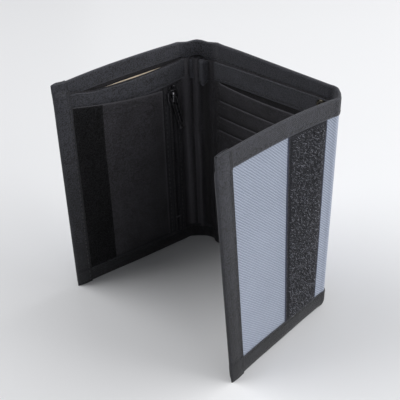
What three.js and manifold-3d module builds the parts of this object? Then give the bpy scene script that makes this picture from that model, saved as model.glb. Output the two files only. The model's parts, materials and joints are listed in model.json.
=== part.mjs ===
// A trifold fabric wallet, standing open on its bottom edge. Millimetres, +Z up.
//
// Three panels are joined by two fold spines. Seen from the open side, they run left panel,
// fold A, middle panel, fold B, right panel. The origin is the centre of the middle panel's
// bottom edge, +X runs along the middle panel and -Y points into the opening.
//
// Each panel or spine is built flat, in a group of its own: x runs along it, z is up, and a
// layer's depth is counted from the plane of the hinge lines towards the inside, so y = -depth.

import * as THREE from "three";
import { mergeVertices } from "three/addons/utils/BufferGeometryUtils.js";
import Module from "manifold-3d";

// ---- Driving dimensions ----

const WALLET_HEIGHT = 125;
const PANEL_WIDTH = 75;
const RIGHT_PANEL_WIDTH = 72.4; // narrower, so that it closes inside fold A
const FOLD_A_WIDTH = 18;
const FOLD_B_WIDTH = 11;
const FOLD_A_TURN_DEG = 79.5;
const FOLD_B_TURN_DEG = 94;

const STAND_DEPTH = 2.2; // from the hinge plane to the middle of the standing edge
const PANEL_SETBACK = 2.3; // from a hinge line to the first edge of a panel's layers
const SPINE_SETBACK = 0.3;
const EDGE_INSET = 0.6; // from a bound edge's outside to the layers that it holds
const TAPE_THICKNESS = 0.3;
const PIECE_GAP = 0.3; // between two tapes or strips that meet end to end

const BOTTOM_BINDING_OUTER = 11.2;
const BOTTOM_BINDING_INNER = 9.8;
const SIDE_BINDING_WIDTH = 8.5;
const TOP_BINDING_HEIGHT = 8.5;
const INNER_TOP = 116.3; // top edge of the bill compartment's inner wall
const INNER_BINDING_FRONT = 10.3;
const INNER_BINDING_BACK = 8;

// Depth of each layer, from its outer face to its inner face.
const OUTER_LEG = [-0.15, 0.15];
const COVER = [0.3, 0.8];
const LINING = [0.95, 1.2];
const TOP_BINDING_LEG = [1.35, 1.65];
const CARD = [1.85, 2.1];
const INNER_BACK_LEG = [2.25, 2.5];
const INNER_WALL = [2.65, 2.95];
const INNER_FRONT_LEG = [3.1, 3.4];

// Left panel: coin pocket with an upright zip, and the loop half of the closure.
const LEFT_BINDING_LEG = [3.6, 3.9];
const POCKET_FRONT = [3.15, 3.45];
const POCKET_TOP = 104.6;
const LOOP = [3.6, 4.2];
const LOOP_WIDTH = 15.5;
const ZIP_FROM_FOLD = 9.5;
const ZIP_TAPE = [3.7, 3.95];
const ZIP_TAPE_REACH = 4.8;
const ZIP_SLOT_HALF = 0.5; // half of the gap that the slider's post runs in
const ZIP_COIL = [4.1, 4.9];
const ZIP_COIL_REACH = 1.9;
const ZIP_TOP_STOP = [4.1, 5];
const ZIP_BOTTOM_STOP = [5.05, 5.5]; // clamped over both coils
const ZIP_BOTTOM_STOP_Z = 20.1;
const ZIP_BOTTOM = 10.1;
const ZIP_TOP = 104.3;
const ZIP_STOP_HEIGHT = 1.6;

// Zip slider, about the middle of its body, and its pull.
const SLIDER_HALF_LENGTH = 4.2;
const SLIDER_HALF_WIDTH = 3;
const SLIDER_LOWER_PLATE = [3.1, 3.5];
const SLIDER_UPPER_PLATE = [5.05, 5.6];
const SLIDER_POST_HALF = 0.25;
const BRIDGE_TOP = [6.35, 6.75];
const BRIDGE_HALF_WIDTH = 0.55;
const BRIDGE_HALF_LENGTH = 2.6;
const BRIDGE_LEG = 0.6;
const PULL_PIVOT_DEPTH = 5.98;
const PULL_THICKNESS = 0.45;
const PULL_LENGTH = 20.5;
const PULL_HALF_WIDTH = 1.7;
const PULL_EYE_HALF_WIDTH = 1.3;
const PULL_EYE_LENGTH = 3.7;
const PULL_END_HOLE_RADIUS = 0.7;
const PULL_SKEW_DEG = 13; // the pull hangs a little towards the fold

// Stiff paper card in the bill compartment.
const CARD_FROM_FREE_EDGE = 9;
const CARD_WIDTH = 53;
const CARD_BOTTOM = 8;
const CARD_TOP = 115;

// Middle panel: stepped card slots, front one last, and the chain eyelet.
const SLOT_TOPS = [105.6, 95.1, 85.6, 77.6];
const SLOT_FIRST_DEPTH = 3.1;
const SLOT_THICKNESS = 0.2;
const SLOT_STEP = 0.3;
const SLOT_SIDE_INSET = 0.4;
const MIDDLE_BINDING_LEG = [4.35, 4.65];
const EYELET_FROM_FOLD = 5.2;
const EYELET_Z = 113.1;
const EYELET_BORE_RADIUS = 1.4;
const EYELET_BARREL_RADIUS = 1.8;
const EYELET_FLANGE_RADIUS = 3.1;
const EYELET_FLANGE = [3.55, 4.15];
const EYELET_HOLE_RADIUS = 2.1;
const WASHER = [-0.45, 0.15];
const WASHER_HOLE_RADIUS = 2;
const WASHER_RADIUS = 2.9;

// Right panel: hook half of the closure outside, window pocket inside.
const RIGHT_BINDING_LEG = [3.8, 4.1];
const HOOK = [-0.75, 0.15];
const HOOK_FROM_FOLD = 7.6;
const HOOK_WIDTH = 24;
const WINDOW = [3.1, 3.25];
const WINDOW_FRAME = [3.4, 3.65];
const WINDOW_FRAME_TOP = 95;
const WINDOW_MARGIN = 12; // from the frame's edge to its opening
const WINDOW_OVERLAP = 3; // how far the clear sheet runs under the frame

// Fold spines: thin layers, so that each fold can close flat.
const SPINE_CLOTH = [1.45, 1.7];
const SPINE_INNER_LEG = [1.85, 2.1];

const ROUND_SEGMENTS = 28;

// ---- Materials ----

function finish(color, roughness, metalness = 0) {
  return new THREE.MeshStandardMaterial({ color, roughness, metalness });
}

const greyTwill = finish(0x97a0b1, 0.85);
const blackNylon = finish(0x242328, 0.7);
const bindingTape = finish(0x35353a, 0.75);
const hookTape = finish(0x3a3b40, 0.6);
const loopTape = finish(0x141416, 0.95);
const coilNylon = finish(0x1a1a1c, 0.4);
const sliderMetal = finish(0x2c2c30, 0.3, 0.9);
const eyeletMetal = finish(0x5a5048, 0.3, 0.9);
const kraftCard = finish(0xc79a6b, 0.8);
const clearFilm = finish(0xdfe4e8, 0.1);

// ---- Solid geometry ----

const wasm = await Module();
wasm.setup();

function toSolid(geometry) {
  const bare = geometry.clone();
  bare.deleteAttribute("normal");
  bare.deleteAttribute("uv");
  const merged = mergeVertices(bare, 1e-4);
  const mesh = new wasm.Mesh({
    numProp: 3,
    vertProperties: new Float32Array(merged.attributes.position.array),
    triVerts: new Uint32Array(merged.index.array),
  });
  return new wasm.Manifold(mesh);
}

function fromSolid(solid) {
  const { vertProperties, triVerts } = solid.getMesh();
  const geometry = new THREE.BufferGeometry();
  geometry.setAttribute("position", new THREE.BufferAttribute(vertProperties, 3));
  geometry.setIndex(new THREE.BufferAttribute(triVerts, 1));
  geometry.computeVertexNormals();
  return geometry;
}

function boxGeometry([x0, x1], [near, far], [z0, z1]) {
  const geometry = new THREE.BoxGeometry(x1 - x0, far - near, z1 - z0);
  geometry.translate((x0 + x1) / 2, -(near + far) / 2, (z0 + z1) / 2);
  return geometry;
}

function outline(points) {
  return new THREE.Shape(points.map(([a, b]) => new THREE.Vector2(a, b)));
}

// A profile of [depth, z] points, run along x.
function profileAlongX(points, [x0, x1]) {
  const shape = outline(points.map(([depth, z]) => [-depth, z]));
  const geometry = new THREE.ExtrudeGeometry(shape, { depth: x1 - x0, bevelEnabled: false });
  const alongX = new THREE.Matrix4().makeBasis(
    new THREE.Vector3(0, 1, 0),
    new THREE.Vector3(0, 0, 1),
    new THREE.Vector3(1, 0, 0),
  );
  return geometry.applyMatrix4(alongX).translate(x0, 0, 0);
}

// A profile of [x, depth] points, run along z.
function profileAlongZ(points, [z0, z1]) {
  const shape = outline(points.map(([x, depth]) => [x, -depth]));
  const geometry = new THREE.ExtrudeGeometry(shape, { depth: z1 - z0, bevelEnabled: false });
  return geometry.translate(0, 0, z0);
}

// An outline in the panel's own plane, given as a Shape of x and z, with the layer's depth.
function plateGeometry(shape, [near, far]) {
  const geometry = new THREE.ExtrudeGeometry(shape, {
    depth: far - near,
    bevelEnabled: false,
    curveSegments: 8,
  });
  return geometry.rotateX(Math.PI / 2).translate(0, -near, 0);
}

// Tape folded round an edge: two legs and the bridge between them, as distances from the edge.
function foldedTape(outerLeg, innerLeg, outerReach, innerReach) {
  return [
    [outerLeg[0], 0],
    [outerLeg[0], outerReach],
    [outerLeg[1], outerReach],
    [outerLeg[1], TAPE_THICKNESS],
    [innerLeg[0], TAPE_THICKNESS],
    [innerLeg[0], innerReach],
    [innerLeg[1], innerReach],
    [innerLeg[1], 0],
  ];
}

function piece(group, name, material, geometry) {
  const mesh = new THREE.Mesh(geometry, material);
  mesh.name = name;
  group.add(mesh);
  return mesh;
}

// ---- Layers that every panel and spine shares ----

function bottomBinding(group, name, span, innerLeg) {
  const points = foldedTape(OUTER_LEG, innerLeg, BOTTOM_BINDING_OUTER, BOTTOM_BINDING_INNER);
  piece(group, name, bindingTape, profileAlongX(points, span));
}

function topOuterBinding(group, name, span) {
  const tape = foldedTape(OUTER_LEG, TOP_BINDING_LEG, TOP_BINDING_HEIGHT, TOP_BINDING_HEIGHT - 0.4);
  const points = tape.map(([depth, reach]) => [depth, WALLET_HEIGHT - reach]);
  piece(group, name, bindingTape, profileAlongX(points, span));
}

function topInnerBinding(group, name, span) {
  const tape = foldedTape(INNER_BACK_LEG, INNER_FRONT_LEG, INNER_BINDING_BACK, INNER_BINDING_FRONT);
  const points = tape.map(([depth, reach]) => [depth, INNER_TOP - reach]);
  return piece(group, name, bindingTape, profileAlongX(points, span));
}

// The side of a panel's free edge; direction is +1 where the panel lies at greater x.
function sideBinding(group, name, edge, direction, innerLeg) {
  const tape = foldedTape(OUTER_LEG, innerLeg, SIDE_BINDING_WIDTH, SIDE_BINDING_WIDTH);
  const points = tape.map(([depth, reach]) => [edge + direction * reach, depth]);
  piece(group, name, bindingTape, profileAlongZ(points, [0, WALLET_HEIGHT]));
}

const COVER_SPAN_Z = [EDGE_INSET, WALLET_HEIGHT - EDGE_INSET];
const INNER_SPAN_Z = [EDGE_INSET, INNER_TOP - EDGE_INSET];

function panelSheets(group, prefix, layerSpan, boundSpan, bottomLeg) {
  const sheets = {
    cover: piece(group, `${prefix}_outer_cover`, greyTwill, boxGeometry(layerSpan, COVER, COVER_SPAN_Z)),
    lining: piece(group, `${prefix}_bill_lining`, blackNylon, boxGeometry(layerSpan, LINING, COVER_SPAN_Z)),
    wall: piece(group, `${prefix}_inner_wall`, blackNylon, boxGeometry(layerSpan, INNER_WALL, INNER_SPAN_Z)),
    innerBinding: topInnerBinding(group, `${prefix}_top_inner_binding`, boundSpan),
  };
  bottomBinding(group, `${prefix}_bottom_binding`, boundSpan, bottomLeg);
  topOuterBinding(group, `${prefix}_top_outer_binding`, boundSpan);
  return sheets;
}

function foldSpine(group, prefix, span) {
  const innerTape = [INNER_TOP - INNER_BINDING_FRONT, INNER_TOP];
  piece(group, `${prefix}_outer_cover`, greyTwill, boxGeometry(span, COVER, COVER_SPAN_Z));
  piece(group, `${prefix}_bill_lining`, blackNylon, boxGeometry(span, LINING, COVER_SPAN_Z));
  piece(group, `${prefix}_inner_cloth`, blackNylon, boxGeometry(span, SPINE_CLOTH, INNER_SPAN_Z));
  piece(group, `${prefix}_top_inner_binding`, bindingTape, boxGeometry(span, SPINE_INNER_LEG, innerTape));
  bottomBinding(group, `${prefix}_bottom_binding`, span, SPINE_INNER_LEG);
  topOuterBinding(group, `${prefix}_top_outer_binding`, span);
}

// ---- Left panel ----

function zipHalf(group, side, direction, zipX) {
  const across = (from, to) => [zipX + direction * from, zipX + direction * to].sort((a, b) => a - b);
  const tapeSpan = across(ZIP_SLOT_HALF + 0.1, ZIP_TAPE_REACH);
  const coilSpan = across(ZIP_SLOT_HALF, ZIP_COIL_REACH);
  const coilZ = [ZIP_BOTTOM, ZIP_TOP - ZIP_STOP_HEIGHT - PIECE_GAP];
  piece(group, `zip_tape_${side}`, blackNylon, boxGeometry(tapeSpan, ZIP_TAPE, [ZIP_BOTTOM, ZIP_TOP]));
  piece(group, `zip_coil_${side}`, coilNylon, boxGeometry(coilSpan, ZIP_COIL, coilZ));
  const stopZ = [ZIP_TOP - ZIP_STOP_HEIGHT, ZIP_TOP];
  piece(group, `zip_top_stop_${side}`, sliderMetal, boxGeometry(coilSpan, ZIP_TOP_STOP, stopZ));
}

function leftPanel() {
  const group = new THREE.Group();
  const freeEdge = -PANEL_WIDTH;
  const zipX = -ZIP_FROM_FOLD;
  const layerSpan = [freeEdge + EDGE_INSET, -PANEL_SETBACK];
  const boundSpan = [freeEdge + SIDE_BINDING_WIDTH + PIECE_GAP, -PANEL_SETBACK];
  panelSheets(group, "left", layerSpan, boundSpan, LEFT_BINDING_LEG);
  sideBinding(group, "left_side_binding", freeEdge, 1, LEFT_BINDING_LEG);

  const pocketSpan = [layerSpan[0], zipX - ZIP_TAPE_REACH - PIECE_GAP];
  const pocketZ = [EDGE_INSET, POCKET_TOP];
  piece(group, "coin_pocket_front", blackNylon, boxGeometry(pocketSpan, POCKET_FRONT, pocketZ));
  const loopSpan = [boundSpan[0], boundSpan[0] + LOOP_WIDTH];
  const loopZ = [BOTTOM_BINDING_INNER + PIECE_GAP, POCKET_TOP - PIECE_GAP];
  piece(group, "loop_strip", loopTape, boxGeometry(loopSpan, LOOP, loopZ));

  zipHalf(group, "pocket_side", -1, zipX);
  zipHalf(group, "fold_side", 1, zipX);
  const stopSpan = [zipX - ZIP_COIL_REACH, zipX + ZIP_COIL_REACH];
  const stopZ = [ZIP_BOTTOM_STOP_Z, ZIP_BOTTOM_STOP_Z + ZIP_STOP_HEIGHT];
  piece(group, "zip_bottom_stop", sliderMetal, boxGeometry(stopSpan, ZIP_BOTTOM_STOP, stopZ));
  const facingSpan = [zipX + ZIP_TAPE_REACH + PIECE_GAP, -PANEL_SETBACK];
  piece(group, "zip_facing_strip", blackNylon, boxGeometry(facingSpan, POCKET_FRONT, pocketZ));

  const slider = zipSlider();
  slider.position.set(zipX, 0, ZIP_TOP - ZIP_STOP_HEIGHT - PIECE_GAP - SLIDER_HALF_LENGTH);
  group.add(slider);

  const cardLeft = freeEdge + CARD_FROM_FREE_EDGE;
  const cardGeometry = boxGeometry([cardLeft, cardLeft + CARD_WIDTH], CARD, [CARD_BOTTOM, CARD_TOP]);
  piece(group, "insert_card", kraftCard, cardGeometry);
  return group;
}

// The slider straddles the coils: two plates on a central post, with a bridge for the pull.
function zipSlider() {
  const group = new THREE.Group();
  const along = [-SLIDER_HALF_LENGTH, SLIDER_HALF_LENGTH];
  const across = [-SLIDER_HALF_WIDTH, SLIDER_HALF_WIDTH];
  const plates = [SLIDER_LOWER_PLATE, SLIDER_UPPER_PLATE].map((depth) => boxGeometry(across, depth, along));
  const postSpan = [-SLIDER_POST_HALF, SLIDER_POST_HALF];
  const post = boxGeometry(postSpan, [SLIDER_LOWER_PLATE[0], SLIDER_UPPER_PLATE[1]], along);
  const bridgeSpan = [-BRIDGE_HALF_WIDTH, BRIDGE_HALF_WIDTH];
  const bar = boxGeometry(bridgeSpan, BRIDGE_TOP, [-BRIDGE_HALF_LENGTH, BRIDGE_HALF_LENGTH]);
  const legs = [-BRIDGE_HALF_LENGTH, BRIDGE_HALF_LENGTH - BRIDGE_LEG].map((z) =>
    boxGeometry(bridgeSpan, [SLIDER_UPPER_PLATE[0], BRIDGE_TOP[1]], [z, z + BRIDGE_LEG]),
  );
  const joined = [...plates, bar, ...legs].reduce((solid, part) => solid.add(toSolid(part)), toSolid(post));
  piece(group, "zip_slider", sliderMetal, fromSolid(joined));

  const pull = piece(group, "zip_pull", sliderMetal, pullGeometry());
  pull.position.set(0, -PULL_PIVOT_DEPTH, 0);
  pull.rotation.y = -THREE.MathUtils.degToRad(PULL_SKEW_DEG);
  return group;
}

// A flat tab that hangs from its pivot, with an eye round the bridge and a small end hole.
function pullGeometry() {
  const tab = new THREE.Shape();
  const top = PULL_THICKNESS / 2;
  const endCentre = -PULL_LENGTH + PULL_HALF_WIDTH;
  tab.moveTo(-PULL_HALF_WIDTH, top);
  tab.lineTo(-PULL_HALF_WIDTH, endCentre);
  tab.absarc(0, endCentre, PULL_HALF_WIDTH, Math.PI, 2 * Math.PI, false);
  tab.lineTo(PULL_HALF_WIDTH, top);
  const eye = outline([
    [-PULL_EYE_HALF_WIDTH, -top],
    [PULL_EYE_HALF_WIDTH, -top],
    [PULL_EYE_HALF_WIDTH, -PULL_EYE_LENGTH],
    [-PULL_EYE_HALF_WIDTH, -PULL_EYE_LENGTH],
  ]);
  const endHole = new THREE.Path();
  endHole.absarc(0, endCentre, PULL_END_HOLE_RADIUS, 0, 2 * Math.PI, true);
  tab.holes.push(eye, endHole);
  return plateGeometry(tab, [-PULL_THICKNESS / 2, PULL_THICKNESS / 2]);
}

// ---- Middle panel ----

function drill(mesh, x, z) {
  const drillLength = 12;
  const bit = new THREE.CylinderGeometry(
    EYELET_HOLE_RADIUS,
    EYELET_HOLE_RADIUS,
    drillLength,
    ROUND_SEGMENTS,
  ).translate(x, 0, z);
  mesh.geometry = fromSolid(toSolid(mesh.geometry).subtract(toSolid(bit)));
}

// A ring about the y axis, from the [radius, depth] points of its section.
function ringGeometry(points) {
  const profile = points.map(([radius, depth]) => new THREE.Vector2(radius, -depth)).reverse();
  return new THREE.LatheGeometry([...profile, profile[0]], ROUND_SEGMENTS);
}

function middlePanel() {
  const group = new THREE.Group();
  const span = [PANEL_SETBACK, PANEL_WIDTH - PANEL_SETBACK];
  const sheets = panelSheets(group, "middle", span, span, MIDDLE_BINDING_LEG);

  const slotSpan = [span[0] + SLOT_SIDE_INSET, span[1] - SLOT_SIDE_INSET];
  SLOT_TOPS.forEach((top, index) => {
    const near = SLOT_FIRST_DEPTH + index * SLOT_STEP;
    const geometry = boxGeometry(slotSpan, [near, near + SLOT_THICKNESS], [EDGE_INSET, top]);
    piece(group, `card_slot_${index + 1}`, blackNylon, geometry);
  });

  const eyeletX = PANEL_WIDTH - EYELET_FROM_FOLD;
  for (const sheet of Object.values(sheets)) {
    drill(sheet, eyeletX, EYELET_Z);
  }
  const eyelet = piece(group, "chain_eyelet", eyeletMetal, ringGeometry([
    [EYELET_BORE_RADIUS, EYELET_FLANGE[1]],
    [EYELET_BORE_RADIUS, WASHER[0]],
    [EYELET_BARREL_RADIUS, WASHER[0]],
    [EYELET_BARREL_RADIUS, EYELET_FLANGE[0]],
    [EYELET_FLANGE_RADIUS, EYELET_FLANGE[0]],
    [EYELET_FLANGE_RADIUS - 0.5, EYELET_FLANGE[1]],
  ]));
  eyelet.position.set(eyeletX, 0, EYELET_Z);
  const washer = piece(group, "eyelet_washer", eyeletMetal, ringGeometry([
    [WASHER_HOLE_RADIUS, WASHER[1]],
    [WASHER_HOLE_RADIUS, WASHER[0]],
    [WASHER_RADIUS, WASHER[0]],
    [WASHER_RADIUS, WASHER[1]],
  ]));
  washer.position.copy(eyelet.position);
  return group;
}

// ---- Right panel ----

function rectangle([x0, x1], [z0, z1]) {
  return outline([
    [x0, z0],
    [x1, z0],
    [x1, z1],
    [x0, z1],
  ]);
}

function grow([low, high], amount) {
  return [low - amount, high + amount];
}

function rightPanel() {
  const group = new THREE.Group();
  const layerSpan = [PANEL_SETBACK, RIGHT_PANEL_WIDTH - EDGE_INSET];
  const boundSpan = [PANEL_SETBACK, RIGHT_PANEL_WIDTH - SIDE_BINDING_WIDTH - PIECE_GAP];
  panelSheets(group, "right", layerSpan, boundSpan, RIGHT_BINDING_LEG);
  sideBinding(group, "right_side_binding", RIGHT_PANEL_WIDTH, -1, RIGHT_BINDING_LEG);

  const hookSpan = [HOOK_FROM_FOLD, HOOK_FROM_FOLD + HOOK_WIDTH];
  const hookZ = [BOTTOM_BINDING_OUTER + PIECE_GAP, WALLET_HEIGHT - TOP_BINDING_HEIGHT - PIECE_GAP];
  piece(group, "hook_strip", hookTape, boxGeometry(hookSpan, HOOK, hookZ));

  const frameZ = [EDGE_INSET, WINDOW_FRAME_TOP];
  const openX = grow(layerSpan, -WINDOW_MARGIN);
  const openZ = grow(frameZ, -WINDOW_MARGIN);
  const frame = rectangle(layerSpan, frameZ);
  frame.holes.push(rectangle(openX, openZ));
  piece(group, "window_pocket_frame", blackNylon, plateGeometry(frame, WINDOW_FRAME));
  const filmX = grow(openX, WINDOW_OVERLAP);
  const filmZ = grow(openZ, WINDOW_OVERLAP);
  piece(group, "window_film", clearFilm, boxGeometry(filmX, WINDOW, filmZ));
  return group;
}

// ---- Assembly ----

// Stands a panel or spine at a hinge line of its neighbour, turned about it.
function hangFrom(parent, child, x, turnDeg) {
  child.position.set(x, 0, 0);
  child.rotation.z = THREE.MathUtils.degToRad(turnDeg);
  parent.add(child);
}

const foldA = new THREE.Group();
foldSpine(foldA, "fold_a", [-FOLD_A_WIDTH + SPINE_SETBACK, -SPINE_SETBACK]);
const foldB = new THREE.Group();
foldSpine(foldB, "fold_b", [SPINE_SETBACK, FOLD_B_WIDTH - SPINE_SETBACK]);

const middle = middlePanel();
hangFrom(middle, foldA, 0, FOLD_A_TURN_DEG / 2);
hangFrom(foldA, leftPanel(), -FOLD_A_WIDTH, FOLD_A_TURN_DEG / 2);
hangFrom(middle, foldB, PANEL_WIDTH, -FOLD_B_TURN_DEG / 2);
hangFrom(foldB, rightPanel(), FOLD_B_WIDTH, -FOLD_B_TURN_DEG / 2);
middle.position.set(-PANEL_WIDTH / 2, STAND_DEPTH, 0);

const wallet = new THREE.Group();
wallet.add(middle);

export default wallet;
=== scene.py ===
"""A trifold fabric wallet, standing open on its bottom edge.

Every cloth piece is made in the wallet's unrolled state, as (u, depth, z) in millimetres:
u runs from fold A's outer hinge along the middle panel, depth is counted inwards from the
plane of the hinges, and z is up. place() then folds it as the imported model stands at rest.
"""

import json
import math

import bpy
import numpy as np
from mathutils import Matrix, Vector

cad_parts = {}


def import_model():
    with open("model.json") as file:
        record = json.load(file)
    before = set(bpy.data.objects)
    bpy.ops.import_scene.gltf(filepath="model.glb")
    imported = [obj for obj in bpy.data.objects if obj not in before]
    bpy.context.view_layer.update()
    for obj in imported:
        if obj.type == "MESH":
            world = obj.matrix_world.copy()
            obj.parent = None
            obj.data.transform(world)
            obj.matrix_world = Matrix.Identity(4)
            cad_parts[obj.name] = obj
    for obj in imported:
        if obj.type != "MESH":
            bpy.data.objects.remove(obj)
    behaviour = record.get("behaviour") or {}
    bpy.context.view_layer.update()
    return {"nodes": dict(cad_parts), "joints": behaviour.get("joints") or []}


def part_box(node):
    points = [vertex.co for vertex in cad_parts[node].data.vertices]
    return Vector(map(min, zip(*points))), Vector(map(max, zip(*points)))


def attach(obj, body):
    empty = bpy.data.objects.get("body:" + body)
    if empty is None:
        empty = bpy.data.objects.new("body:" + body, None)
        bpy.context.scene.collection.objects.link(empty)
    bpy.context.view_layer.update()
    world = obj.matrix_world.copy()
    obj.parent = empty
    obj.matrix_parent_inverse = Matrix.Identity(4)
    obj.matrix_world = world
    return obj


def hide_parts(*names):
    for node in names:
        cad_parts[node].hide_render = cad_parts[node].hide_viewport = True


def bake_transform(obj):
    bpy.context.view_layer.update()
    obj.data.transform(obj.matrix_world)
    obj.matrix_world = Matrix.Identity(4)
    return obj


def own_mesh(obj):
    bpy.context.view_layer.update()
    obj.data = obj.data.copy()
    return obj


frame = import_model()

MM = 0.001
rng = np.random.default_rng(11)

# ---- Where the folds are ----

JOINTS = {j["name"]: j for j in frame["joints"]}


def hinge_point(name):
    return np.array(JOINTS[name]["pos_m"][:2]) / MM


A_OUTER, A_INNER = hinge_point("fold_a_outer"), hinge_point("fold_a_inner")
B_OUTER, B_INNER = hinge_point("fold_b_outer"), hinge_point("fold_b_inner")
FOLD_A = float(np.linalg.norm(A_INNER - A_OUTER))
FOLD_B = float(np.linalg.norm(B_INNER - B_OUTER))
PANEL = float(np.linalg.norm(B_OUTER - A_OUTER))
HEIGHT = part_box("left_side_binding")[1].z / MM
TURN_A = -math.radians(JOINTS["fold_a_outer"]["range_deg"][0])
TURN_B = math.radians(JOINTS["fold_b_outer"]["range_deg"][0])


def right_panel_width():
    """From fold B's inner hinge to the panel's free edge; it is narrower than the other two."""
    along = np.array([math.cos(2 * TURN_B), math.sin(2 * TURN_B)])
    corners = [v.co[:2] for v in frame["nodes"]["right_side_binding"].data.vertices]
    return float(((np.array(corners) / MM - B_INNER) @ along).max())


U_A0, U_A1 = -FOLD_A, 0.0
U_B0, U_B1 = PANEL, PANEL + FOLD_B
U_LEFT, U_RIGHT = U_A0 - PANEL, U_B1 + right_panel_width()
SOFT_A, SOFT_B = 4.0, 3.5  # half of the cloth's length that each hinge bends
# Both outer panels stand a little more open than the hinges say, and more closed at the top.
LEAN_LEFT, TWIST_LEFT = math.radians(-0.34), math.radians(2.05)
LEAN_RIGHT, TWIST_RIGHT = math.radians(-0.7), math.radians(3.4)


def smooth(t):
    t = np.clip(t, 0, 1)
    return t * t * (3 - 2 * t)


def bump(x, centre, half):
    """1 at the centre, falling smoothly to 0 at half away."""
    return smooth(1 - np.abs(x - centre) / half)


def arc(u, start, end):
    """0 at both stations and 1 halfway, as half a sine wave."""
    return np.sin(math.pi * np.clip((u - start) / (end - start), 0, 1))


def swell(x, centre, width):
    """A bell curve, 1 at the centre."""
    return np.exp(-(((x - centre) / width) ** 2))


def sway(u, z):
    """How far the whole stack of layers bows inwards; the folds bulge outwards instead."""
    up = z / HEIGHT
    right, left = arc(u, U_B1, U_RIGHT), arc(u, U_LEFT, U_A0)
    bow = right * (0.55 + 0.47 * up) + left * 0.1 * up
    share = smooth(up / 0.7)
    bow += 3.2 * (1 - share) * smooth((u - U_A1 + 9) / 12) * (1 - smooth((u - U_A1 - 8) / 40))
    fold_b = up**3 + 0.5 * np.sin(math.pi * up) - (1 - up) ** 4
    bow -= 2.3 * share * arc(u, U_A0, U_A1) + fold_b * arc(u, U_B0, U_B1)
    return bow + 0.18 * np.sin(u / 11 + z / 23) * np.maximum(left, right)


def crest(u, z):
    """The soft top edges rise a little between their ends, and at the left panel's corner."""
    rise = 1.31 * arc(u, U_LEFT, U_A0) + 1.21 * arc(u, U_B1, U_RIGHT)
    rise += 0.5 * arc(u, U_A0 - 8, U_A1 + 8) * np.cos(2 * math.pi * (u + 9) / 13)
    rise -= 0.6 * bump(u, U_A0 / 2 + 3, 26)
    corner = 1.2 * smooth((U_LEFT + 8 - u) / 8) * (z / HEIGHT) ** 8
    return rise * (z / HEIGHT) ** 4 + corner


def edge_pinch(u, depth, z):
    """The stack is pressed thinner towards the edges that it stands on and opens at."""
    at_foot = smooth((4.5 - z) / 4.5)
    at_side = np.maximum(smooth((U_LEFT + 4.5 - u) / 4.5), smooth((u - U_RIGHT + 4.5) / 4.5))
    squeeze = 0.48 * np.maximum(at_foot, at_side) + 0.32 * at_foot * at_side
    seam = stack_depth(u) * np.interp(u, (U_LEFT, U_A0, U_B0, U_RIGHT), (0.75, 0.5, 0.5, 0.2))
    return seam + (depth - seam) * (1 - squeeze)


def place(flat):
    """Unrolled (u, depth, z) in millimetres to the row frame in metres, folded as at rest."""
    u, depth, z = (np.array(flat[..., i], float) for i in range(3))
    x, y = u.copy(), -(edge_pinch(u, depth, z) + sway(u, z))
    up = 2 * z / HEIGHT - 1
    for hinge, side, turn, soft in (
        (U_B1, 1, TURN_B - LEAN_RIGHT - TWIST_RIGHT * up, SOFT_B),
        (U_B0, 1, TURN_B, SOFT_B),
        (U_A0, -1, TURN_A + LEAN_LEFT + TWIST_LEFT * up, SOFT_A),
        (U_A1, -1, TURN_A, SOFT_A),
    ):
        angle = turn * smooth((side * (u - hinge) + soft) / (2 * soft))
        dx = x - hinge
        x = hinge + dx * np.cos(angle) - y * np.sin(angle)
        y = dx * np.sin(angle) + y * np.cos(angle)
    return np.stack([x + A_OUTER[0], y + A_OUTER[1], z + crest(u, z)], -1) * MM


# Name, span along u, the two bodies and the hinge between them, in order along u.
U_CUT = (U_A0 / 2, PANEL / 2, U_B0 + FOLD_B / 2)
SEGMENTS = {
    "left": (U_LEFT, U_CUT[0], "left_panel", "fold_a", U_A0, SOFT_A),
    "middle_a": (U_CUT[0], U_CUT[1], "fold_a", "middle_panel", U_A1, SOFT_A),
    "middle_b": (U_CUT[1], U_CUT[2], "middle_panel", "fold_b", U_B0, SOFT_B),
    "right": (U_CUT[2], U_RIGHT, "fold_b", "right_panel", U_B1, SOFT_B),
}


def spine_share(u):
    """1 in the fold spines, where the layers are thin, and 0 in the panels."""
    a = smooth((u - U_A0 + 1.5) / 7.5) * smooth((1.5 - u + U_A1) / 7.5)
    b = smooth((u - U_B0 + 1.5) / 5) * smooth((1.5 - u + U_B1) / 5)
    return np.maximum(a, b)


# ---- Layer depths and heights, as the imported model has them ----

COVER = (0.3, 0.8)
LINING = (0.95, 1.2)
INNER_WALL = (2.65, 2.95)
SPINE_CLOTH = (1.45, 1.7)
SPINE_LEG = 1.975
LEFT_LEG, MIDDLE_LEG, RIGHT_LEG = 3.75, 4.5, 3.95  # the bindings' inner legs
TAPE = 0.28
STITCH_INSET = 1.45  # from a tape's edge to its stitches, which pull it in
STITCH_LIFT = TAPE / 2 - 0.02  # from the middle of a tape to its stitches
EDGE_INSET = 0.6
TOP_BINDING = 8.5
BOTTOM_OUTER, BOTTOM_INNER = 11.2, 9.8
SIDE_BINDING = 8.5
INNER_TOP = 116.3
INNER_FRONT, INNER_BACK = 10.3, 8.0
POCKET_TOP = 104.6
SLOT_TOPS = (105.6, 95.1, 85.6, 77.6)
ZIP_U = U_A0 - 9.5
ZIP_BOTTOM, ZIP_TOP = 10.1, 104.3
HOOK_FROM, HOOK_WIDTH = 7.6, 24.0
LOOP_FROM, LOOP_WIDTH = SIDE_BINDING + 0.3, 15.5
CARD_FROM, CARD_WIDTH, CARD_BOTTOM, CARD_TOP = 9.0, 53.0, 8.0, 115.0
MOUTH_DEPTH, MOUTH_Z = 2.14, 121  # the middle of the bill opening, between its two bindings


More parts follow.
